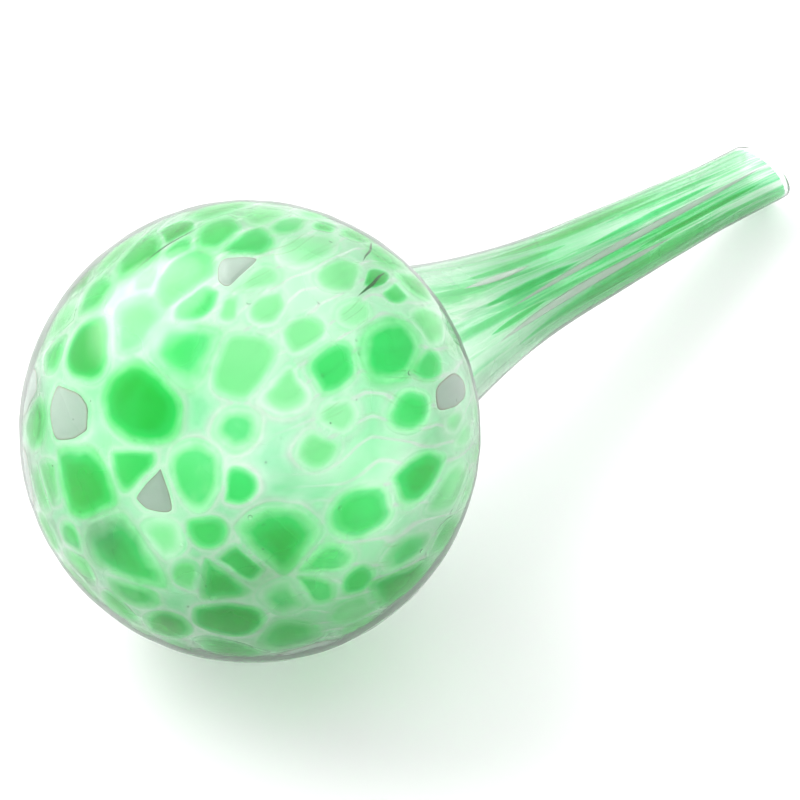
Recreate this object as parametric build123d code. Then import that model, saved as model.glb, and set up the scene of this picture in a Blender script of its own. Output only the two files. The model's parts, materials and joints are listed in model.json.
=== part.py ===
from build123d import *
import os
import random
from math import asin, atan2, cos, degrees, hypot, pi, radians, sin, sqrt

# A hand-blown glass watering globe, upright as in use, its axis on Z and the soil line at Z = 0.
# Lengths are in millimetres and angles in degrees.

# Blown form
globe_diameter = 64.0      # over the chips
wall = 1.5                 # clear glass of the globe and the stem
neck_fillet = 14.0         # round between the globe and the trumpet
trumpet_radius = 210.0     # sweep of the trumpet, seen from the side
trumpet_length = 44.0      # from the underside of the globe to the waist
waist_diameter = 14.1      # where the trumpet runs out into the taper
taper_length = 38.0        # from the waist to the straight end
tip_diameter = 10.8
tip_length = 22.0          # straight end, up to its longest lip
tip_slant = 38.0           # slope of the cut across the tip
point_azimuth = 135.0      # side of the tip that is longest
soil_depth = 78.0          # how far the stem goes into the soil
join_drop = 5.0            # from the underside of the globe to the join with the stem

# Chips of coloured glass on the globe
chip_thickness = 0.5       # how far the chips stand out from the clear glass
vein_width = 0.85          # clear glass left between neighbouring chips
shoulder_gap = 3.0         # clear glass between the last chips and the round of the neck
chip_growth = 1.25         # most that a chip swells past its own size
chip_sides = 12            # sides of a chip before its neighbours trim it
chip_root = 4.0            # depth from which a chip is trimmed to the bubble
loose_chip_size = (3.7, 5.2)    # half width of the chips that lie at random
loose_chip_stretch = 0.35  # extra size of those nearest the neck
loose_chip_packing = 0.86  # closest spacing of two chips, over the sum of their half widths
loose_chip_tries = 4000
loose_chip_seed = 11

# Chips placed one by one, as they lay before the gather was blown out and drawn down: a flat disc with the
# crown of the globe at its middle. Each is its place and half width, in degrees of the finished globe.
placed_chips = {
    "emerald_chips": [
        (8, 2, 9), (-13, 3, 10), (-23, 11, 6), (17, -20, 11), (37, -8, 10), (65, -21, 8), (71, -30, 5),
        (-44, -5, 9), (-30, -34, 9), (-45, -72, 9), (0, -89, 10), (31, -94, 5), (64, -79, 5), (-75, -39, 10),
    ],
    "leaf_green_chips": [
        (-58, -7, 8), (-51, 11, 10), (-44, 23, 6), (-26, 23, 6), (-31, -14, 6), (-30, -22, 5), (-46, -22, 6),
        (-50, -30, 6), (-45, -38, 6), (-57, -37, 5), (-65, -51, 8), (-39, -54, 8), (-5, -27, 8), (-12, -35, 4),
        (-18, -22, 4), (5, -14, 6), (26, -37, 8), (49, -38, 7), (37, -42, 5), (55, -9, 6), (57, -57, 6),
        (65, -47, 7), (61, -35, 4), (-22, -83, 7), (5, -69, 7), (22, -99, 5), (64, -67, 6), (-12, -97, 5),
        (1, -42, 5), (28, 18, 6), (-3, 18, 4), (40, -24, 7), (43, 6, 5),
    ],
    "mint_chips": [
        (-14, -11, 5), (-25, -9, 4), (-67, -26, 6), (-80, -15, 7), (16, -50, 8), (33, -50, 4), (30, -58, 6),
        (40, -59, 5), (4, -57, 6), (-15, -56, 5), (-10, -65, 5), (17, -67, 6), (18, -82, 5), (35, -82, 7),
        (50, -74, 9), (53, 8, 8), (72, -6, 8), (12, 24, 5), (12, 16, 5), (-10, 24, 5), (-60, -75, 9),
        (-40, -94, 5), (-50, -93, 5), (52, -27, 4),
    ],
    "white_chips": [
        (25, 0, 7.5), (-3, -17, 5), (46, -53, 5), (-29, -100, 7.5), (37, 22, 6),
    ],
}
bare_spots = [(-27, -66, 6), (15, -9, 3)]    # windows of clear glass among the placed chips
loose_chip_shares = {"emerald_chips": 0.3, "leaf_green_chips": 0.42, "mint_chips": 0.24, "white_chips": 0.04}

# Streaks of coloured glass along the stem: azimuth, width, start below the join, stop above the tip's point
# and lean towards larger azimuths. Each is a long leaf let in flush with the skin.
streak_depth = 0.6
streaks = {
    "emerald_streaks": [
        (-134, 2.2, 12, 12, 0.0), (-109, 0.8, 4, 76, 0.0), (-109, 0.8, 48, 12, 0.0), (-88, 1.2, 5, 64, 0.0),
        (-75, 1.0, 36, 22, 0.5), (-62, 1.1, 5, 64, 0.0), (-44, 1.6, 16, 34, 0.0), (20, 1.9, 10, 20, 0.0),
        (63, 1.7, 5, 40, -0.4), (115, 2.0, 14, 14, 0.0), (168, 1.6, 6, 36, 0.5),
    ],
    "mint_streaks": [
        (-172, 1.6, 20, 15, 0.0), (-155, 1.6, 8, 18, 0.0), (-101, 0.6, 24, 16, 0.9), (-57, 0.7, 44, 18, 0.0),
        (-27, 1.5, 22, 14, 0.0), (0, 1.4, 6, 28, 0.0), (42, 1.6, 18, 18, 0.0), (94, 1.6, 8, 32, 0.0),
        (137, 1.7, 10, 16, 0.0),
    ],
    "white_streaks": [
        (-94, 0.9, 12, 10, 1.1), (-118, 1.0, 6, 40, 0.0), (-69, 0.7, 4, 76, 0.0), (-14, 0.8, 10, 24, 0.6),
        (80, 0.7, 14, 26, 0.0), (151, 0.8, 7, 26, -0.5),
    ],
}

# Levels and radii that follow from the sizes
globe_radius = globe_diameter / 2
bubble_radius = globe_radius - chip_thickness
tip_z = -soil_depth
straight_z = tip_z + tip_length
waist_z = straight_z + taper_length
underside_z = waist_z + trumpet_length
globe_z = underside_z + globe_radius
join_z = underside_z - join_drop
trumpet_top_z = globe_z - bubble_radius / 2
tail = tip_diameter        # spare length below the tip, cut off on the slant


def half_section(inset, spare):
    # Half section of the blown form, set in from its outer skin and carried on below the tip.
    ball = bubble_radius - inset
    waist = waist_diameter / 2 - inset
    tip = tip_diameter / 2 - inset
    sweep = trumpet_radius + inset
    slope = atan2((waist_diameter - tip_diameter) / 2, taper_length)
    sweep_x = waist + sweep * cos(slope)
    sweep_z = waist_z - sweep * sin(slope)
    last_turn = asin((trumpet_top_z - sweep_z) / sweep)
    turns = (slope, (slope + last_turn) / 2, last_turn)
    trumpet = [(sweep_x - sweep * cos(turn), sweep_z + sweep * sin(turn)) for turn in turns]
    crown = (0, globe_z + ball)
    foot = (0, globe_z - ball)
    bubble = make_face([ThreePointArc(crown, (ball, globe_z), foot), Line(foot, crown)])
    end_z = tip_z - spare
    sides = Polyline(trumpet[2], (0, trumpet_top_z), (0, end_z), (tip, end_z), (tip, straight_z), trumpet[0])
    form = bubble + make_face([ThreePointArc(*trumpet), sides])
    neck = form.vertices().sort_by(Axis.X)[-1]
    return fillet(neck, neck_fillet + inset)


def turned(section):
    return revolve(Plane.XZ * section, axis=Axis.Z)


def cut_tip(solid):
    # The tip is cut across on a slant, down to its longest lip.
    side = Vector(cos(radians(point_azimuth)), sin(radians(point_azimuth)), 0)
    lip = side * (tip_diameter / 2) + Vector(0, 0, tip_z)
    facing = side * -sin(radians(tip_slant)) + Vector(0, 0, -cos(radians(tip_slant)))
    return split(solid, bisect_by=Plane(origin=lip, z_dir=facing), keep=Keep.BOTTOM)


def lay_out_chips(reach_limit):
    # Placed chips first, then loose ones wherever there is room on the flat disc, in degrees.
    layout = [(x, y, size, node) for node, chips in placed_chips.items() for x, y, size in chips]
    layout += [(x, y, size, None) for x, y, size in bare_spots]
    draw = random.Random(loose_chip_seed)
    nodes = list(loose_chip_shares)
    shares = list(loose_chip_shares.values())
    for _ in range(loose_chip_tries):
        reach = reach_limit * sqrt(draw.random())
        turn = draw.uniform(0, 2 * pi)
        stretch = 1 + loose_chip_stretch * reach / reach_limit
        size = degrees(draw.uniform(*loose_chip_size) / globe_radius) * stretch
        node = draw.choices(nodes, shares)[0]
        x = reach * cos(turn)
        y = reach * sin(turn)
        if all(hypot(x - a, y - b) > loose_chip_packing * (size + other) for a, b, other, _ in layout):
            layout.append((x, y, size, node))
    return layout


def trim(corners, across, limit):
    # Keep the part of a flat polygon that lies within limit of the crown's side, measured along across.
    kept = []
    for (x0, y0), (x1, y1) in zip(corners, corners[1:] + corners[:1]):
        start = limit - x0 * across[0] - y0 * across[1]
        stop = limit - x1 * across[0] - y1 * across[1]
        if start >= 0:
            kept.append((x0, y0))
        if start * stop < 0:
            share = start / (start - stop)
            kept.append((x0 + share * (x1 - x0), y0 + share * (y1 - y0)))
    return kept


def chip_corners(chip, layout, reach_limit):
    # A chip swells until it meets its neighbours, each pair meeting in the ratio of their sizes.
    x, y, size, _ = chip
    half_vein = degrees(vein_width / globe_radius) / 2
    spread = chip_growth * size
    steps = [2 * pi * step / chip_sides for step in range(chip_sides)]
    corners = [(x + spread * cos(step), y + spread * sin(step)) for step in steps]
    for other_x, other_y, other_size, _ in layout:
        apart = hypot(other_x - x, other_y - y)
        if 0 < apart < 2 * chip_growth * (size + other_size):
            across = ((other_x - x) / apart, (other_y - y) / apart)
            meeting = apart * size / (size + other_size) - half_vein
            corners = trim(corners, across, x * across[0] + y * across[1] + meeting)
    turn = atan2(y, x)
    return trim(corners, (cos(turn), sin(turn)), reach_limit)


def direction(x, y):
    # The flat disc is wrapped over the globe: its radius becomes the angle down from the crown.
    polar = radians(hypot(x, y))
    turn = atan2(y, x)
    return Vector(sin(polar) * cos(turn), sin(polar) * sin(turn), cos(polar))


def chip_solid(chip, layout, reach_limit, skin):
    # A rounded tile between the bubble and the globe's full size, made facing up and then set in place.
    out = direction(chip[0], chip[1])
    seat = Plane(origin=(0, 0, globe_z), x_dir=Vector(-out.Y, out.X, 0), z_dir=out)
    corners = [direction(x, y) * globe_radius for x, y in chip_corners(chip, layout, reach_limit)]
    flat = [(corner.dot(seat.x_dir), corner.dot(seat.y_dir)) for corner in corners]
    middles = [((x0 + x1) / 2, (y0 + y1) / 2) for (x0, y0), (x1, y1) in zip(flat[-1:] + flat[:-1], flat)]
    curves = [Bezier(start, corner, stop) for start, corner, stop in
              zip(middles, flat, middles[1:] + middles[:1])]
    root = Pos(0, 0, bubble_radius - chip_root) * make_face(curves)
    tile = extrude(root, amount=chip_root + 2 * chip_thickness) & skin
    return (seat.location * tile).solid()


def streak_solid(azimuth, width, start, stop, lean, skin):
    # A long leaf with two pointed ends, let into the skin of the stem.
    top = join_z - start
    bottom = tip_z + stop
    middle = (top + bottom) / 2
    half_length = (top - bottom) / 2
    ends = ((0, half_length), (0, -half_length))
    leaf = make_face([
        ThreePointArc(ends[0], (width / 2, 0), ends[1]),
        ThreePointArc(ends[1], (-width / 2, 0), ends[0]),
    ])
    out = Vector(cos(radians(azimuth)), sin(radians(azimuth)), 0)
    seat = Plane(origin=(0, 0, middle), x_dir=Vector(-out.Y, out.X, 0), z_dir=out)
    return (extrude(seat * (Rot(0, 0, lean) * leaf), amount=globe_radius) & skin).solid()


def write(name, solids):
    export_step(Compound(children=solids), f"parts/{name}.step")


# The clear vessel, parted at the neck
outer_section = half_section(0, tail)
outer_form = turned(outer_section)
vessel = cut_tip(outer_form - turned(half_section(wall, 2 * tail)))
join = Plane.XY.offset(join_z)
globe = split(vessel, bisect_by=join, keep=Keep.TOP)
stem = split(vessel, bisect_by=join, keep=Keep.BOTTOM)

# Chips, down to where the round of the neck begins
neck_start = outer_section.vertices().sort_by(Axis.X)[-1]
neck_polar = 90 + degrees(atan2(globe_z - neck_start.Y, neck_start.X))
reach_limit = neck_polar - degrees(shoulder_gap / globe_radius)
layout = lay_out_chips(reach_limit)
chip_skin = Rot(0, 90, 0) * (Sphere(globe_radius) - Sphere(bubble_radius))
chips = {node: [] for node in placed_chips}
for chip in layout:
    if chip[3]:
        chips[chip[3]].append(chip_solid(chip, layout, reach_limit, chip_skin))

# Streaks, with their seats cut into the stem
stem_skin = outer_form - turned(half_section(streak_depth, 2 * tail))
streak_solids = {node: [streak_solid(*streak, stem_skin) for streak in group] for node, group in streaks.items()}
for group in streak_solids.values():
    stem = stem - group

os.makedirs("parts", exist_ok=True)
write("globe", globe.solids())
write("stem", stem.solids())
for node, solids in {**chips, **streak_solids}.items():
    write(node, solids)
print("chips", {node: len(solids) for node, solids in chips.items()}, "reach", round(reach_limit, 1))
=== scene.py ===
import json
import math
import random
import bmesh
import bpy
from mathutils import Matrix, Vector, noise
from mathutils.bvhtree import BVHTree
from mathutils.kdtree import KDTree


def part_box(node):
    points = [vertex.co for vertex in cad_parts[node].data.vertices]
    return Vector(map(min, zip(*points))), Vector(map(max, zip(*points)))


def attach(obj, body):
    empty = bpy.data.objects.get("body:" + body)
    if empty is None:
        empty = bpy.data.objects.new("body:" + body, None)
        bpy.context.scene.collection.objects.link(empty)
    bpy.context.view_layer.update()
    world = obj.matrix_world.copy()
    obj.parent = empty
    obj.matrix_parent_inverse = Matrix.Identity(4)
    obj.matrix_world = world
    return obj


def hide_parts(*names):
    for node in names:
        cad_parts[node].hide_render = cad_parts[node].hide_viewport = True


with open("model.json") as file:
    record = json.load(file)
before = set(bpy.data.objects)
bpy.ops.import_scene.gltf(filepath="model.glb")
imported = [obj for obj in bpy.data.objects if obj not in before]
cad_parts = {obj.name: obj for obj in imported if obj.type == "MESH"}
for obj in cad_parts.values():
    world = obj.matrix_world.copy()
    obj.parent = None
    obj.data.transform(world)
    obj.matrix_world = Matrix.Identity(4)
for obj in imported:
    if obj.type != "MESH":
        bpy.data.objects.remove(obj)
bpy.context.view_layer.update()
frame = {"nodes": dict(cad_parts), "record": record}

mm = 0.001
mergeGap = 0.002 * mm
white = (1, 1, 1, 1)
draw = random.Random(5)
noise.seed_set(5)       # otherwise noise_vector follows the clock
print("frame loaded:", ", ".join(sorted(frame["nodes"])))


# shader maths: a socket that can be added, taken away and multiplied
class Wire:
    def __init__(self, tree, socket):
        self.tree = tree
        self.socket = socket

    def combine(self, operation, first, second):
        node = self.tree.nodes.new("ShaderNodeMath")
        node.operation = operation
        for slot, value in zip(node.inputs, (first, second)):
            plug(self.tree, slot, value)
        return Wire(self.tree, node.outputs[0])

    def __add__(self, other):
        return self.combine("ADD", self, other)

    def __radd__(self, other):
        return self.combine("ADD", other, self)

    def __sub__(self, other):
        return self.combine("SUBTRACT", self, other)

    def __rsub__(self, other):
        return self.combine("SUBTRACT", other, self)

    def __mul__(self, other):
        return self.combine("MULTIPLY", self, other)

    def __rmul__(self, other):
        return self.combine("MULTIPLY", other, self)


def plug(tree, slot, value):
    if isinstance(value, Wire):
        tree.links.new(value.socket, slot)
    else:
        slot.default_value = value


# the node tree of a material or a world
class Finish:
    def __init__(self, owner):
        owner.use_nodes = True
        self.owner = owner
        self.tree = owner.node_tree
        self.tree.nodes.clear()

    # any node: its settings first, then the values or links of its sockets
    def node(self, kind, settings=None, sockets=None, output=0):
        made = self.tree.nodes.new(kind)
        for key, value in (settings or {}).items():
            if key == "stops":
                ramp = made.color_ramp.elements
                while len(ramp) < len(value):
                    ramp.new(1.0)
                for stop, (place, colour) in zip(ramp, value):
                    stop.position = place
                    stop.color = colour
            else:
                setattr(made, key, value)
        for key, value in (sockets or {}).items():
            plug(self.tree, made.inputs[key], value)
        return Wire(self.tree, made.outputs[output])

    def between(self, value, low, high):
        return self.node("ShaderNodeMapRange", {"interpolation_type": "SMOOTHSTEP"},
                         {"Value": value, "From Min": low, "From Max": high})

    def blend(self, share, first, second):
        return self.node("ShaderNodeMix", {"data_type": "RGBA"},
                         {"Factor": share, 6: first, 7: second}, output=2)

    def ramp(self, stops, value):
        return self.node("ShaderNodeValToRGB", {"stops": stops}, {"Fac": value})

    def attribute(self, name):
        return self.node("ShaderNodeAttribute", {"attribute_name": name}, output="Fac")

    def place(self):
        return self.node("ShaderNodeTexCoord", output="Object")

    def cloud(self, scale, detail=3.0, swirl=0.0):
        return self.node("ShaderNodeTexNoise", None, {
            "Vector": self.place(), "Scale": scale, "Detail": detail, "Distortion": swirl})

    def maths(self, operation, *values):
        return self.node("ShaderNodeMath", {"operation": operation}, dict(enumerate(values)))

    def behind(self):
        return self.node("ShaderNodeNewGeometry", output="Backfacing")

    def principled(self, sockets):
        return self.node("ShaderNodeBsdfPrincipled", None, sockets)

    # coloured glass that lies inside the clear wall, so it tints light and hardly bends it
    def tinted(self, colour):
        return self.principled({
            "Base Color": colour, "Roughness": 0.0, "Transmission Weight": 1.0, "IOR": 1.01})

    def mix(self, share, first, second):
        return self.node("ShaderNodeMixShader", None, {"Fac": share, 1: first, 2: second})

    def finish(self, shader):
        world = isinstance(self.owner, bpy.types.World)
        end = self.tree.nodes.new("ShaderNodeOutputWorld" if world else "ShaderNodeOutputMaterial")
        plug(self.tree, end.inputs["Surface"], shader)
        return self.owner


def newFinish(name):
    return Finish(bpy.data.materials.new(name))


def newPiece(name, bm, *materials, slot=None, replaces=()):
    mesh = bpy.data.meshes.new(name)
    bm.to_mesh(mesh)
    bm.free()
    for material in materials:
        mesh.materials.append(material)
    mesh.polygons.foreach_set("use_smooth", [True] * len(mesh.polygons))
    piece = bpy.data.objects.new(name, mesh)
    bpy.context.scene.collection.objects.link(piece)
    if slot:
        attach(piece, "root")
    if replaces:
        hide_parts(*replaces)
    print(name, len(mesh.polygons), "faces")
    return piece


def nameOf(node):
    words = node.split("_")
    return words[0] + "".join(word.capitalize() for word in words[1:])


def slotOf(node):
    return next(s["material_slot"] for s in frame["record"]["subparts"] if s["node"] == node)


# where the globe and the stem are, from the frame
chamber = next(o for o in frame["record"]["physics"]["openings"] if o["name"] == "water_chamber")
globeCentre = (Vector(chamber["box_m"][0]) + Vector(chamber["box_m"][1])) / 2
chipNodes = ("emerald_chips", "leaf_green_chips", "mint_chips", "white_chips")
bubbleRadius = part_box("globe")[1].z - globeCentre.z
rimRadius = max((v.co - globeCentre).length for v in frame["nodes"]["emerald_chips"].data.vertices)
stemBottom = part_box("stem")[0].z
straightEnd = stemBottom + 12 * mm      # the slanted cut lies below this
probe = {"rays": 12, "turn": 0.37, "from": 100 * mm}
vessel = bmesh.new()
for vesselNode in ("globe", "stem"):
    vessel.from_mesh(frame["nodes"][vesselNode].data)
vesselTree = BVHTree.FromBMesh(vessel)
vessel.free()


def heading(turn):
    return Vector((math.cos(turn), math.sin(turn), 0))


def flatOut(co):
    return Vector((co.x, co.y, 0)).normalized()


def onGlobe(polar, turn, radius):
    return globeCentre + radius * (math.sin(polar) * heading(turn) + math.cos(polar) * Vector((0, 0, 1)))


def smooth(value):
    value = min(1.0, max(0.0, value))
    return value * value * (3 - 2 * value)


# how far a value has come from one number to another, smoothly
def passed(value, start, stop):
    return smooth((value - start) / (stop - start))


# inner and outer radius of the CAD wall at a height
def wallAt(z):
    inner, outer = 0.0, 0.0
    middle = Vector((0, 0, max(z, straightEnd)))
    for step in range(probe["rays"]):
        out = heading(math.tau * (step + probe["turn"]) / probe["rays"])
        inner = max(inner, vesselTree.ray_cast(middle, out)[3])
        outer = max(outer, probe["from"] - vesselTree.ray_cast(middle + out * probe["from"], -out)[3])
    return inner, outer


def mergedCopy(node):
    bm = bmesh.new()
    bm.from_mesh(frame["nodes"][node].data)
    bmesh.ops.remove_doubles(bm, verts=bm.verts, dist=mergeGap)
    return bm


def joinInto(bm, other):
    mesh = bpy.data.meshes.new("joined")
    other.to_mesh(mesh)
    other.free()
    bm.from_mesh(mesh)
    bpy.data.meshes.remove(mesh)


# closes a sheet into a thin lens: a copy is pushed away and meets it again where push is nothing
def thicken(bm, push):
    made = bmesh.ops.extrude_face_region(bm, geom=bm.faces[:], use_keep_orig=True)["geom"]
    for v in [part for part in made if isinstance(part, bmesh.types.BMVert)]:
        v.co += push(v)
    bmesh.ops.remove_doubles(bm, verts=bm.verts, dist=mergeGap)
    bmesh.ops.recalc_face_normals(bm, faces=bm.faces[:])


# the outline of every CAD chip, rounded, as one face each
chipLook = {
    "rings": (0.12, 0.3, 0.5, 0.75, 1.0),
    "grow": (1.0, 1.34),        # soft edges reach out over the veins
    "whiteGrow": (0.95, 1.0),
    "fadeShare": (0.4, 0.82),   # of a chip's radius, from its pale edge to its full colour
    "edgeDepth": 0.75 * mm,     # of a chip's edge under the outer skin
    "dome": 0.3 * mm,
    "jitter": 0.2 * mm,
    "thickness": 0.4 * mm,
    "lowest": (130.0, 137.0),   # polar degrees over which a chip is held back from the neck
    "fadeOut": (108.0, 132.0),  # polar degrees over which its colour is lost towards the neck
    "clearTone": -0.72,         # tone at which a chip has no colour left
    "whiteMilk": 0.55,          # share of milk in the white glass
    "fewestCorners": 12,
    "rounding": 22,
    "ragged": 0.3 * mm,
    "raggedScale": 330.0,
}


def chipCaps(node):
    bm = mergedCopy(node)
    high = (bubbleRadius + 3 * rimRadius) / 4
    low = [f for f in bm.faces if min((v.co - globeCentre).length for v in f.verts) < high]
    bmesh.ops.delete(bm, geom=low, context="FACES")
    bmesh.ops.delete(bm, geom=[e for e in bm.edges if not e.is_boundary], context="EDGES")
    bmesh.ops.delete(bm, geom=[v for v in bm.verts if not v.link_edges], context="VERTS")
    bmesh.ops.edgenet_fill(bm, edges=bm.edges[:])
    slivers = [f for f in bm.faces if len(f.verts) < chipLook["fewestCorners"]]
    bmesh.ops.delete(bm, geom=slivers, context="FACES")
    for turn in range(chipLook["rounding"]):
        bmesh.ops.smooth_vert(bm, verts=bm.verts, factor=0.5,
                              use_axis_x=True, use_axis_y=True, use_axis_z=True)
    for v in bm.verts:
        v.co += chipLook["ragged"] * noise.noise_vector(v.co * chipLook["raggedScale"])
        v.co = globeCentre + rimRadius * (v.co - globeCentre).normalized()
    return bm


allCaps = bmesh.new()
for chipNode in chipNodes:
    joinInto(allCaps, chipCaps(chipNode))
capTree = BVHTree.FromBMesh(allCaps)
outlines = KDTree(len(allCaps.verts))
for index, v in enumerate(allCaps.verts):
    outlines.insert(v.co, index)
outlines.balance()
print("chips found:", len(allCaps.faces))
allCaps.free()


# signed distance to the nearest chip outline, plus inside a chip
def chipDistance(out):
    far = outlines.find(globeCentre + out * rimRadius)[2]
    inside = capTree.ray_cast(globeCentre, out)[0] is not None
    return far if inside else -far


# clear glass, with painted shade: a grey line mixed in along its outline where the surface turns edge-on,
# standing in for the dark rim of thick glass
glassShade = {
    "ior": 1.48,
    "sheen": 0.12,
    "tint": (0.985, 1.0, 0.985, 1),
    "smear": (0.01, 0.05),          # least roughness of the skin, and what smears add
    "smearScale": 90.0,
    "insideRough": (0.2, 0.4),
    "insideScale": 60.0,
    # painted shade: the grey of the line along the outline
    "line": (0.06, 0.08, 0.065, 1),
    "lineShare": 0.85,
    "lineFrom": (0.77, 0.85),       # of the way to edge-on
    "lineEase": 0.55,               # weaker again by this at the very edge
    "lineEases": (0.9, 1.0),
    "lineRagged": 0.5,
    "lineScale": 26.0,
    "lineStem": 0.04,               # less of it on the stem, more on the lip
    "lineLip": 0.3,
}


def clearSkin():
    f = newFinish("clearSkin")
    least, more = glassShade["smear"]
    smear = least + more * f.between(f.cloud(glassShade["smearScale"]), 0.5, 0.75)
    facing = f.node("ShaderNodeLayerWeight", None, {"Blend": 0.5}, output="Facing")
    ragged = (f.cloud(glassShade["lineScale"]) - 0.5) * glassShade["lineRagged"]
    onStem = glassShade["lineStem"] * f.attribute("stem")
    edge = facing - onStem + glassShade["lineLip"] * f.attribute("lip") + ragged
    line = f.between(edge, *glassShade["lineFrom"])
    line = line * (1 - glassShade["lineEase"] * f.between(edge, *glassShade["lineEases"]))
    near = 1 - f.behind()
    glass = f.principled({
        "Base Color": glassShade["tint"], "Roughness": smear, "Transmission Weight": 1.0,
        "IOR": glassShade["ior"], "Specular IOR Level": glassShade["sheen"]})
    # painted shade: a grey surface mixed over the glass along the outline, by how edge-on the surface is
    paintedRimShade = f.principled({"Base Color": glassShade["line"], "Roughness": 0.3})
    return f.finish(f.mix(line * near * glassShade["lineShare"], glass, paintedRimShade))


def mistyInside():
    f = newFinish("mistyInside")
    low, high = glassShade["insideRough"]
    rough = low + (high - low) * f.between(f.cloud(glassShade["insideScale"]), 0.3, 0.7)
    return f.finish(f.principled({
        "Base Color": glassShade["tint"], "Roughness": rough, "Transmission Weight": 1.0,
        "IOR": glassShade["ior"]}))


# one continuous clear body, outer skin and inner wall
glassBody = {
    "wedgeSteps": 16,
    "doublings": 4,
    "skinRows": 120,
    "wallRows": 60,
    "stemRows": 84,
    "turnPolar": 134.0,       # below this the wall is read from the CAD by height
    "casing": 40.0,           # degrees over which the clear casing thins towards the neck
    "inset": 0.06 * mm,       # of the skin, inside the tops of the CAD chips
    "swell": 0.05 * mm,       # skin over the middle of a chip
    "swellReach": 1.3 * mm,
    "wobble": 0.07 * mm,
    "wobbleScale": 65.0,
    "wobbleIn": 0.6,          # share by which the wobble leans inwards
    "neckBlend": 15 * mm,
    "tipSlant": 38.0,
    "lipRows": 9,
    # painted shade: the stem end gets more of the grey line painted along the outline
    "lipShade": 1.2 * mm,     # of stem end that shows as a grey line
}
turnPolar = math.radians(glassBody["turnPolar"])
casingTop = rimRadius - glassBody["inset"]
insideRadius = wallAt(globeCentre.z)[0]


def casingShare(polar):
    return smooth((turnPolar - polar) / math.radians(glassBody["casing"]))


def skinRadius(polar):
    return bubbleRadius + (casingTop - bubbleRadius) * casingShare(polar)


# half a section, from the crown down to the tip; pick is 0 for the inner wall and 1 for the outer
def bodyChain(radiusAt, rows, pick, inset=0.0):
    chain = [onGlobe(turnPolar * k / rows, 0.0, radiusAt(turnPolar * k / rows)) for k in range(rows + 1)]
    top = chain[-1].z
    drop = top - stemBottom
    heights = [top - drop * k / glassBody["stemRows"] for k in range(1, glassBody["stemRows"] + 1)]
    widths = [chain[-1].x] + [wallAt(z)[pick] - inset for z in heights]
    for k in range(1, len(widths) - 1):
        widths[k] = (widths[k - 1] + 2 * widths[k] + widths[k + 1]) / 4
    return chain + [Vector((width, 0, z)) for width, z in zip(widths[1:], heights)]


# half a turn of fire-polished lip between the two walls
def lipChain(outer, inner):
    middle = (outer + inner) / 2
    half = (outer.x - inner.x) / 2
    turns = [math.pi * k / (glassBody["lipRows"] + 1) for k in range(1, glassBody["lipRows"] + 1)]
    return [middle + half * Vector((math.cos(a), 0, 1 - math.sin(a))) for a in turns]


# spins a narrow wedge, then doubles it round
def spunShell(chain):
    bm = bmesh.new()
    verts = [bm.verts.new(point) for point in chain]
    edges = [bm.edges.new(pair) for pair in zip(verts, verts[1:])]
    wedge = math.tau / 2 ** glassBody["doublings"]
    bmesh.ops.spin(bm, geom=verts + edges, cent=(0, 0, 0), axis=(0, 0, 1), angle=wedge,
                   steps=glassBody["wedgeSteps"])
    for k in range(glassBody["doublings"]):
        copy = bmesh.ops.duplicate(bm, geom=bm.verts[:] + bm.edges[:] + bm.faces[:])["geom"]
        moved = [part for part in copy if isinstance(part, bmesh.types.BMVert)]
        bmesh.ops.rotate(bm, verts=moved, cent=(0, 0, 0), matrix=Matrix.Rotation(wedge * 2 ** k, 3, "Z"))
    bmesh.ops.remove_doubles(bm, verts=bm.verts, dist=mergeGap)
    return bm


def tipPlane():
    lip = min((v.co for v in frame["nodes"]["stem"].data.vertices), key=lambda co: co.z)
    slant = math.radians(glassBody["tipSlant"])
    facing = -math.sin(slant) * flatOut(lip) - math.cos(slant) * Vector((0, 0, 1))
    return lip, facing


# squeezes the straight end of the stem up to the slanted cut
def slantTip(bm, back=0.0):
    lip, facing = tipPlane()
    for v in bm.verts:
        share = (straightEnd - v.co.z) / (straightEnd - stemBottom)
        if share > 0:
            cut = lip.z - (v.co - lip).to_2d().dot(facing.to_2d()) / facing.z + back
            v.co.z = straightEnd - share * (straightEnd - cut)


def makeBody():
    outside = bodyChain(skinRadius, glassBody["skinRows"], 1)
    inside = bodyChain(lambda polar: insideRadius, glassBody["wallRows"], 0)
    lift = Vector((0, 0, (outside[-1].x - inside[-1].x) / 2))
    lip = lipChain(outside[-1], inside[-1])
    outside[-1] = outside[-1] + lift
    inside[-1] = inside[-1] + lift
    bm = spunShell(outside + lip + inside[::-1])
    slantTip(bm)
    bmesh.ops.recalc_face_normals(bm, faces=bm.faces[:])
    neck = onGlobe(turnPolar, 0.0, bubbleRadius).z
    stem = bm.verts.layers.float.new("stem")
    rounded = bm.verts.layers.float.new("lip")
    point, facing = tipPlane()
    for v in bm.verts:
        out = (v.co - globeCentre).normalized() if v.co.z > neck else flatOut(v.co)
        v[stem] = smooth((neck - v.co.z) / glassBody["neckBlend"])
        # lip: where the painted grey shade line along the outline covers the stem end
        v[rounded] = smooth(1 + (v.co - point).dot(facing) / glassBody["lipShade"])
        if v.normal.dot(out) < 0:
            for face in v.link_faces:
                face.material_index = 1
            continue
        waver = noise.noise(v.co * glassBody["wobbleScale"]) - glassBody["wobbleIn"]
        v.co += out * glassBody["wobble"] * waver
        if v.co.z > neck:
            v.co += out * glassBody["swell"] * smooth(chipDistance(out) / glassBody["swellReach"])
    return newPiece("blownGlass", bm, clearSkin(), mistyInside(), slot="clear_glass",
                    replaces=("globe", "stem"))


makeBody()

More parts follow.
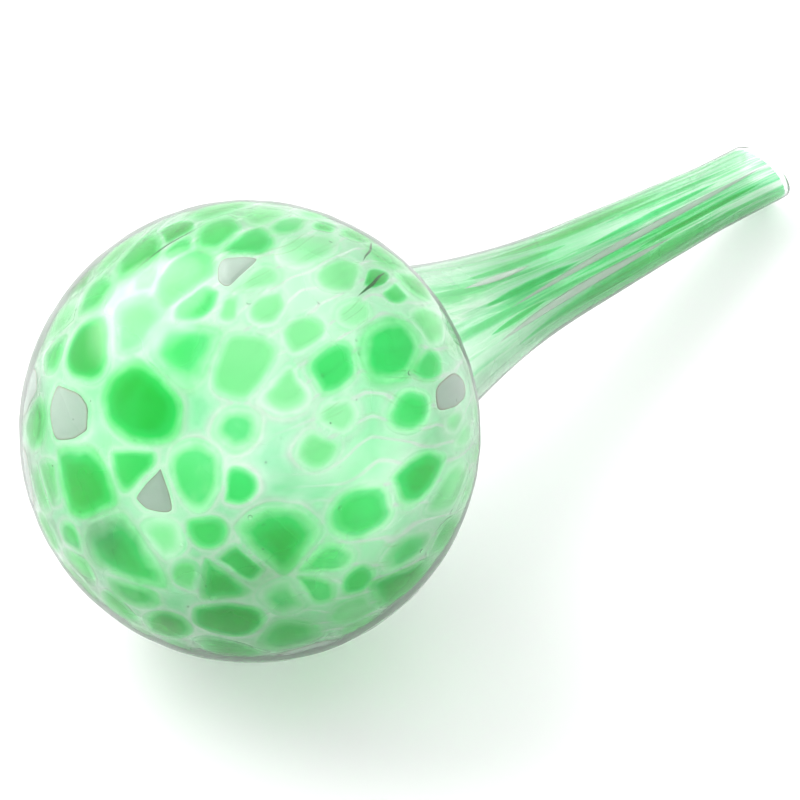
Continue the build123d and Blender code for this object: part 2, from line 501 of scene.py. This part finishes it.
# a milky sheet in the wall: veins between the chips, stripes down the stem
veil = {
    "rows": 100,
    "depth": 1.05 * mm,       # under the skin of the globe
    "stemDepth": 0.4 * mm,
    "stripes": (108.0, 136.0),  # polar degrees over which the veins turn to stripes
    "drawn": (42.0, 72.0),    # and over which flow lines begin
    "twist": -2.6,            # radians per metre
    "clearTip": 1.8 * mm,
    "thickness": 0.05 * mm,
    "farthest": -3.0,         # mm from a chip, past which all is alike
}
veilShade = {
    "reach": 2.2,             # mm out from a chip, over which the veins are drawn
    "lanes": 64,              # flow lines round the globe
    "wash": (0.55, 0.93, 0.66, 1),
    "washShare": 0.65,
    "stain": (0.72, 0.74, 0.6, 1),
    "stainShare": 0.5,
    "milk": (0.04, 0.15, 0.12),     # of the lines, the rings round chips and the threads
    "stemMilk": 0.06,
    "milkWhite": 0.6,
    "stripeScale": 4.6,
    "gapScale": 5.3,
    "stripeRun": 3.5,         # how fast stripes change down the stem
    "veins": (
        (0.0, (0.68, 0.95, 0.78, 1)), (0.14, (0.86, 0.98, 0.9, 1)), (0.22, white),
        (0.3, (0.95, 1, 0.97, 1)), (0.5, (0.68, 0.94, 0.79, 1)), (1.0, (0.45, 0.89, 0.62, 1))),
    "stemStops": (
        (0.32, (0.04, 0.62, 0.18, 1)), (0.42, (0.14, 0.76, 0.32, 1)), (0.485, (0.45, 0.88, 0.57, 1)),
        (0.515, (0.98, 0.99, 0.96, 1)), (0.545, (0.5, 0.88, 0.6, 1)), (0.64, (0.25, 0.82, 0.42, 1))),
}


# colour of the globe's veins, and the share of milk in them
def veinColour(f):
    edge = f.attribute("edge")
    drawn = f.attribute("drawn")
    soft = f.cloud(240.0, detail=4.0, swirl=0.6) - 0.5
    patchy = f.between(f.cloud(110.0, swirl=0.8), 0.35, 0.65)
    away = (soft * 1.1 - edge) * (1.0 / veilShade["reach"])
    line = f.between(edge + soft * 0.9, 0.35, -0.3)
    turn = f.maths("ARCTAN2", f.attribute("turnY"), f.attribute("turnX"))
    lanes = turn * (veilShade["lanes"] / math.tau) + edge * 0.1
    flow = f.maths("FRACT", lanes + f.cloud(40.0, detail=1.0, swirl=0.6) * 4.0)
    flow = f.maths("ABSOLUTE", flow - 0.5)
    thread = f.between(flow, 0.13, 0.02) * (0.3 + 0.7 * line) * drawn
    stain = f.between(flow, 0.2, 0.14) * f.between(flow, 0.1, 0.15) * drawn * f.between(patchy, 0.4, 0.9)
    colour = f.ramp(veilShade["veins"], away)
    colour = f.blend(drawn * veilShade["washShare"], colour, veilShade["wash"])
    colour = f.blend(line * (0.6 + 0.4 * patchy), white, colour)
    colour = f.blend(stain * veilShade["stainShare"], colour, veilShade["stain"])
    colour = f.blend(thread, colour, white)
    ring = f.between(away, 0.06, 0.2) * f.between(away, 0.75, 0.35)
    onLine, onRing, onThread = veilShade["milk"]
    milk = onLine * line + onRing * ring * patchy * line * (1 - 0.5 * drawn) + onThread * thread
    return colour, milk


def stripeColour(f):
    height = f.node("ShaderNodeSeparateXYZ", None, {0: f.place()}, output=2)
    around = f.node("ShaderNodeCombineXYZ", None, {
        "X": f.attribute("turnX"), "Y": f.attribute("turnY"), "Z": height * veilShade["stripeRun"]})
    bands = f.node("ShaderNodeTexNoise", None, {
        "Vector": around, "Scale": veilShade["stripeScale"], "Detail": 3.0, "Roughness": 0.6})
    gaps = f.node("ShaderNodeTexNoise", None, {
        "Vector": around, "Scale": veilShade["gapScale"], "Detail": 2.0})
    stripes = f.ramp(veilShade["stemStops"], bands)
    return f.blend(0.25 + 0.75 * f.between(gaps, 0.36, 0.56), white, stripes)


def milkyVeil():
    f = newFinish("milkyVeil")
    stem = f.attribute("stem")
    veins, milkShare = veinColour(f)
    colour = f.blend(stem, veins, stripeColour(f))
    milk = f.principled({
        "Base Color": f.blend(veilShade["milkWhite"], colour, white), "Roughness": 0.6,
        "Specular IOR Level": 0.0})
    share = milkShare * (1 - stem) + veilShade["stemMilk"] * stem
    return f.finish(f.mix(share, f.tinted(colour), milk))


def makeVeil():
    def sheetRadius(polar):
        deeper = (veil["depth"] - veil["stemDepth"]) * casingShare(polar)
        return skinRadius(polar) - veil["stemDepth"] - deeper

    def inwards(v):
        return (Vector((0, 0, min(v.co.z, globeCentre.z))) - v.co).normalized() * veil["thickness"]

    bm = spunShell(bodyChain(sheetRadius, veil["rows"], 1, veil["stemDepth"]))
    layers = {key: bm.verts.layers.float.new(key) for key in ("edge", "stem", "drawn", "turnX", "turnY")}
    for v in bm.verts:
        out = (v.co - globeCentre).normalized()
        turn = math.atan2(v.co.y, v.co.x) + veil["twist"] * v.co.z
        polar = math.degrees(math.acos(max(-1.0, min(1.0, out.z))))
        v[layers["edge"]] = max(veil["farthest"], chipDistance(out) / mm)
        v[layers["stem"]] = passed(polar, *veil["stripes"])
        v[layers["drawn"]] = passed(polar, *veil["drawn"])
        v[layers["turnX"]] = math.cos(turn)
        v[layers["turnY"]] = math.sin(turn)
    slantTip(bm, veil["clearTip"])
    thicken(bm, inwards)
    return newPiece("milkVeil", bm, milkyVeil(), slot="white_glass")


makeVeil()


# chips, as soft lenses in the wall
def heldBack(polar):
    start, stop = (math.radians(degrees) for degrees in chipLook["lowest"])
    past = max(0.0, polar - start) / (stop - start)
    return min(polar, start) + (stop - start) * (1 - math.exp(-past))


def oneChip(corners, growth):
    bm = bmesh.new()
    fade = bm.verts.layers.float.new("fade")
    tone = bm.verts.layers.float.new("tone")
    cap = bm.faces.new([bm.verts.new(corner) for corner in corners])
    toMiddle = Matrix.Translation(-cap.calc_center_median())
    grow = draw.uniform(*growth)
    reach = draw.uniform(*chipLook["fadeShare"])
    bmesh.ops.scale(bm, vec=(grow,) * 3, verts=bm.verts, space=toMiddle)
    was = 1.0
    for level in chipLook["rings"]:
        made = bmesh.ops.extrude_face_region(bm, geom=[cap])["geom"]
        bmesh.ops.delete(bm, geom=[cap], context="FACES_ONLY")
        cap = next(part for part in made if isinstance(part, bmesh.types.BMFace))
        now = 1 - level * reach
        bmesh.ops.scale(bm, vec=(now / was,) * 3, verts=cap.verts[:], space=toMiddle)
        was = now
        for v in cap.verts:
            v[fade] = level
    for v in bmesh.ops.poke(bm, faces=[cap])["verts"]:
        v[fade] = 1.0
    depth = chipLook["edgeDepth"] + chipLook["jitter"] * draw.random()
    shade = draw.random()
    for v in bm.verts:
        out = (v.co - globeCentre).normalized()
        polar = heldBack(math.acos(out.z))
        radius = skinRadius(polar) - depth + chipLook["dome"] * smooth(v[fade])
        v.co = onGlobe(polar, math.atan2(out.y, out.x), radius)
        lost = passed(math.degrees(polar), *chipLook["fadeOut"])
        v[tone] = shade - (shade - chipLook["clearTone"]) * lost
    thicken(bm, lambda v: (globeCentre - v.co).normalized() * chipLook["thickness"] * smooth(2 * v[fade]))
    return bm


def makeChips(node, material):
    bm = bmesh.new()
    caps = chipCaps(node)
    growth = chipLook["whiteGrow" if "white" in node else "grow"]
    for cap in caps.faces:
        joinInto(bm, oneChip([v.co for v in cap.verts], growth))
    caps.free()
    return newPiece(nameOf(node), bm, material, slot=slotOf(node), replaces=(node,))


# coloured glass, clear at its edge and deepest in its middle
def chipGlass(name, core, middle, edge):
    f = newFinish(name)
    fade = f.attribute("fade")
    mottle = (f.cloud(230.0, detail=5.0, swirl=0.4) - 0.5) * 0.5
    depth = fade * (0.5 + 0.7 * f.attribute("tone")) + mottle * f.between(fade, 0.0, 0.3)
    colour = f.ramp(((0.0, white), (0.25, edge), (0.55, middle), (0.95, core)), depth)
    return f.finish(f.tinted(colour))


def whiteGlass(name, rim, body):
    f = newFinish(name)
    colour = f.blend(f.between(f.attribute("fade"), 0.05, 0.2), rim, body)
    milk = f.principled({"Base Color": colour, "Roughness": 0.6})
    return f.finish(f.mix(chipLook["whiteMilk"], f.tinted(colour), milk))


chipFinishes = {
    "emerald_chips": chipGlass(
        "emeraldGlass", (0.006, 0.6, 0.09, 1), (0.035, 0.73, 0.18, 1), (0.48, 0.94, 0.58, 1)),
    "leaf_green_chips": chipGlass(
        "leafGlass", (0.055, 0.73, 0.18, 1), (0.18, 0.83, 0.33, 1), (0.63, 0.96, 0.7, 1)),
    "mint_chips": chipGlass(
        "mintGlass", (0.34, 0.86, 0.42, 1), (0.48, 0.91, 0.56, 1), (0.79, 0.97, 0.83, 1)),
    "white_chips": whiteGlass("whiteGlass", (0.66, 0.63, 0.55, 1), (0.68, 0.78, 0.72, 1)),
}
for chipNode, chipFinish in chipFinishes.items():
    makeChips(chipNode, chipFinish)


# long leaf-shaped sheets; placeAt gives a point and its fade for u, t from -1 to 1
def leafMesh():
    bm = bmesh.new()
    bm.verts.layers.float.new("fade")
    bm.verts.layers.float.new("tone")
    return bm


def leafSheet(bm, across, along, shade, placeAt):
    fade = bm.verts.layers.float["fade"]
    tone = bm.verts.layers.float["tone"]
    for v in bmesh.ops.create_grid(bm, x_segments=across, y_segments=along, size=1)["verts"]:
        v.co, v[fade] = placeAt(v.co.x, v.co.y)
        v[tone] = shade


# streaks along the stem
streakLook = {
    "across": 6,
    "along": 44,
    "swell": 1.4,
    "depth": 0.22 * mm,
    "curl": 0.12 * mm,
    "thickness": 0.12 * mm,
    "leanShare": 0.5,         # of a streak's lean, taken off its spread to find its width
}


def islandsOf(node):
    bm = mergedCopy(node)
    left = dict.fromkeys(bm.verts)      # in order, so every run walks the same way
    found = []
    while left:
        front = [left.popitem()[0]]
        island = []
        while front:
            v = front.pop()
            island.append(v.co.copy())
            near = [e.other_vert(v) for e in v.link_edges if e.other_vert(v) in left]
            for other in near:
                left.pop(other, None)
            front += near
        found.append(island)
    bm.free()
    return sorted(found, key=lambda island: max(co.x + 2 * co.y for co in island))


def makeStreaks(node, material):
    bm = leafMesh()
    for island in islandsOf(node):
        top = max(island, key=lambda co: co.z)
        bottom = min(island, key=lambda co: co.z)
        middle = sum(island, Vector()) / len(island)
        across = Vector((-middle.y, middle.x, 0)).normalized()
        spread = [co.dot(across) for co in island]
        lean = bottom.dot(across) - top.dot(across)
        width = max(spread) - min(spread) - streakLook["leanShare"] * abs(lean)
        turns = [math.atan2(co.y, co.x) for co in (bottom, top)]
        if abs(turns[1] - turns[0]) > math.pi:
            turns[1] += math.tau if turns[1] < turns[0] else -math.tau

        def placeAt(u, t):
            along = (t + 1) / 2
            z = bottom.z + (top.z - bottom.z) * along
            radius = wallAt(z)[1]
            half = 0.5 * width * streakLook["swell"] * (1 - t * t)
            turn = turns[0] + (turns[1] - turns[0]) * along + u * half / radius
            radius -= streakLook["depth"] + streakLook["curl"] * u * u * (1 - t * t)
            return heading(turn) * radius + Vector((0, 0, z)), (1 - u * u) * (1 - t ** 6)

        leafSheet(bm, streakLook["across"], streakLook["along"], draw.random(), placeAt)
    bmesh.ops.remove_doubles(bm, verts=bm.verts, dist=mergeGap)
    fade = bm.verts.layers.float["fade"]
    thicken(bm, lambda v: -flatOut(v.co) * streakLook["thickness"] * v[fade])
    return newPiece(nameOf(node), bm, material, slot=slotOf(node), replaces=(node,))


streakFinishes = {
    "emerald_streaks": chipGlass(
        "emeraldStreak", (0.03, 0.72, 0.2, 1), (0.12, 0.82, 0.34, 1), (0.6, 0.95, 0.72, 1)),
    "mint_streaks": chipGlass(
        "mintStreak", (0.33, 0.92, 0.54, 1), (0.5, 0.95, 0.67, 1), (0.8, 0.98, 0.87, 1)),
    "white_streaks": whiteGlass("whiteStreak", (0.85, 0.92, 0.87, 1), (0.85, 0.9, 0.86, 1)),
}
for streakNode, streakFinish in streakFinishes.items():
    makeStreaks(streakNode, streakFinish)

# dark creases folded into the glass; each line runs from and to a place on a flat map, in degrees
# with the crown at its middle, and has a width
creases = {
    "lines": (
        ((56, -22), (70, -40), 0.3 * mm),
        ((24, -84), (33, -98), 0.55 * mm),
        ((40, -91), (57, -98), 0.4 * mm),
        ((-62, 30), (-50, 52), 0.3 * mm)),
    "across": 4,
    "along": 40,
    "waver": 1.4,             # degrees
    "waverScale": 0.12,
    "lookAhead": 0.02,        # along a crease, to find its direction
    "depth": 0.42 * mm,
    "thickness": 0.08 * mm,
    "core": (0.03, 0.2, 0.06, 1),
    "edge": (0.3, 0.7, 0.4, 1),
}


def makeCreases():
    bm = leafMesh()
    for start, end, wide in creases["lines"]:
        def spotAt(t):
            flat = Vector(start).lerp(Vector(end), (t + 1) / 2)
            flat += creases["waver"] * noise.noise_vector(flat.to_3d() * creases["waverScale"]).to_2d()
            polar = math.radians(flat.length)
            return onGlobe(polar, math.atan2(flat.y, flat.x), skinRadius(polar) - creases["depth"])

        def placeAt(u, t):
            co = spotAt(t)
            side = (spotAt(t + creases["lookAhead"]) - co).cross(co - globeCentre).normalized()
            return co + side * u * 0.5 * wide * (1 - t * t), 1 - u * u

        leafSheet(bm, creases["across"], creases["along"], 1.0, placeAt)
    bmesh.ops.remove_doubles(bm, verts=bm.verts, dist=mergeGap)
    fade = bm.verts.layers.float["fade"]
    thicken(bm, lambda v: (globeCentre - v.co).normalized() * creases["thickness"] * v[fade])
    material = chipGlass("creaseGlass", creases["core"], creases["core"], creases["edge"])
    return newPiece("darkCreases", bm, material, slot="emerald_glass")


makeCreases()

# specks of soot and seed bubbles caught in the wall
specks = {
    "soot": 70,
    "sootSize": (0.05 * mm, 0.12 * mm),
    "sootFlat": 0.5,
    "sootColour": (0.03, 0.07, 0.03, 1),
    "bubbles": 60,
    "bubbleSize": (0.12 * mm, 0.36 * mm),
    "bubbleFlat": 0.8,
    "bubbleIor": 1.2,
    "stretch": (0.7, 1.3),
    "depth": (0.35 * mm, 0.6 * mm),
    "lowest": 120.0,          # polar degrees
}


def sprinkle(name, count, size, flat, material, slot):
    bm = bmesh.new()
    lowest = math.cos(math.radians(specks["lowest"]))
    for k in range(count):
        one = bmesh.new()
        bmesh.ops.create_icosphere(one, subdivisions=2, radius=draw.uniform(*size))
        bmesh.ops.scale(one, vec=(1.0, draw.uniform(*specks["stretch"]), flat), verts=one.verts)
        polar = math.acos(draw.uniform(lowest, 1.0))
        turn = draw.uniform(0, math.tau)
        spot = onGlobe(polar, turn, skinRadius(polar) - draw.uniform(*specks["depth"]))
        outward = (spot - globeCentre).to_track_quat("Z", "Y").to_matrix()
        bmesh.ops.rotate(one, verts=one.verts, cent=(0, 0, 0), matrix=outward)
        bmesh.ops.translate(one, verts=one.verts, vec=spot)
        joinInto(bm, one)
    return newPiece(name, bm, material, slot=slot)


def sootMark():
    f = newFinish("sootMark")
    return f.finish(f.principled({"Base Color": specks["sootColour"], "Roughness": 0.6}))


def seedBubble():
    f = newFinish("seedBubble")
    return f.finish(f.principled({
        "Base Color": white, "Roughness": 0.0, "Transmission Weight": 1.0, "IOR": specks["bubbleIor"]}))


sprinkle("sootSpecks", specks["soot"], specks["sootSize"], specks["sootFlat"],
         sootMark(), "emerald_glass")
sprinkle("seedBubbles", specks["bubbles"], specks["bubbleSize"], specks["bubbleFlat"],
         seedBubble(), "clear_glass")

# the photograph's view: the globe lies on the floor with the tip's point touching it
view = {
    "tilt": 11.37,           # of the axis against the floor
    "floorAzimuth": -45.0,   # the floor faces this way
    "elevation": 37.45,
    "bearing": 37.87,        # of the stem, to the right of straight ahead
    "distance": 0.544,
    "focalPixels": 3945.7,
    "globePixel": (251.5, 431.0),
    "frame": 800.0,
}
tilt = math.radians(view["tilt"])
elevation = math.radians(view["elevation"])
bearing = math.radians(view["bearing"])
floorUp = math.cos(tilt) * heading(math.radians(view["floorAzimuth"])) + math.sin(tilt) * Vector((0, 0, 1))
stemAlong = Vector((0, 0, -1))
stemAlong = (stemAlong - stemAlong.dot(floorUp) * floorUp).normalized()
ahead = math.cos(bearing) * stemAlong + math.sin(bearing) * floorUp.cross(stemAlong)
forward = math.cos(elevation) * ahead - math.sin(elevation) * floorUp
right = forward.cross(floorUp).normalized()
up = right.cross(forward)
offRight = (view["globePixel"][0] - view["frame"] / 2) / view["focalPixels"]
offUp = (view["frame"] / 2 - view["globePixel"][1]) / view["focalPixels"]
cameraData = bpy.data.cameras.new("camera")
cameraData.sensor_width = 36.0
cameraData.lens = view["focalPixels"] * cameraData.sensor_width / view["frame"]
cameraData.clip_start = 0.01
camera = bpy.data.objects.new("camera", cameraData)
camera.matrix_world = Matrix((right, up, -forward)).transposed().to_4x4()
camera.location = globeCentre - view["distance"] * (forward + offRight * right + offUp * up)
bpy.context.scene.collection.objects.link(camera)
bpy.context.scene.camera = camera
print("camera set")

# floor, glowing a little and seen from its upper side only
floorLook = {"half": 1.5, "paper": (0.56, 0.56, 0.56, 1), "glow": 0.35}


def floorPaper():
    f = newFinish("floorPaper")
    paper = f.principled({
        "Base Color": floorLook["paper"], "Roughness": 0.6, "Emission Color": white,
        "Emission Strength": floorLook["glow"]})
    return f.finish(f.mix(f.behind(), paper, f.node("ShaderNodeBsdfTransparent")))


floorBm = bmesh.new()
bmesh.ops.create_grid(floorBm, x_segments=1, y_segments=1, size=floorLook["half"])
floorTurn = Matrix((stemAlong, floorUp.cross(stemAlong), floorUp)).transposed()
bmesh.ops.rotate(floorBm, verts=floorBm.verts, cent=(0, 0, 0), matrix=floorTurn)
bmesh.ops.translate(floorBm, verts=floorBm.verts, vec=globeCentre - floorUp * rimRadius)
floorPiece = newPiece("floor", floorBm, floorPaper())

# a bright tent all round, darker to the right and on the camera's side, with a brighter panel
# behind the globe to its left; from and full are cosines of the angle off each direction
light = {
    "tent": 1.75,
    "front": (0.5, 0.5, 0.5, 1),
    "frontFrom": 0.1,
    "frontFull": 0.75,
    "side": (0.6, 0.6, 0.6, 1),
    "sideFrom": 0.5,
    "sideFull": 0.8,
    "window": (4.5, 4.5, 4.5, 1),
    "windowRise": 42.0,
    "windowBearing": 55.0,
    "windowFrom": 0.84,
    "windowFull": 0.97,
}
rise = math.radians(light["windowRise"])
leftward = math.radians(light["windowBearing"])
windowAhead = math.cos(leftward) * ahead - math.sin(leftward) * right
panels = {
    "front": -forward,
    "side": right,
    "window": math.cos(rise) * windowAhead + math.sin(rise) * floorUp,
}
world = bpy.data.worlds.new("tent")
bpy.context.scene.world = world
tent = Finish(world)
tentColour = white
for panel, direction in panels.items():
    toward = tent.node("ShaderNodeVectorMath", {"operation": "DOT_PRODUCT"}, {
        0: tent.node("ShaderNodeTexCoord"), 1: direction}, output="Value")
    share = tent.between(toward, light[panel + "From"], light[panel + "Full"])
    tentColour = tent.blend(share, tentColour, light[panel])
tent.finish(tent.node("ShaderNodeBackground", None, {"Color": tentColour, "Strength": light["tent"]}))
print("tent lit")

# light crosses many layers of glass, so paths are long
scene = bpy.context.scene
scene.view_settings.view_transform = "Standard"
scene.cycles.max_bounces = 64
scene.cycles.transmission_bounces = 64
scene.cycles.transparent_max_bounces = 32
scene.cycles.sample_clamp_indirect = 8.0
scene.cycles.use_denoising = True
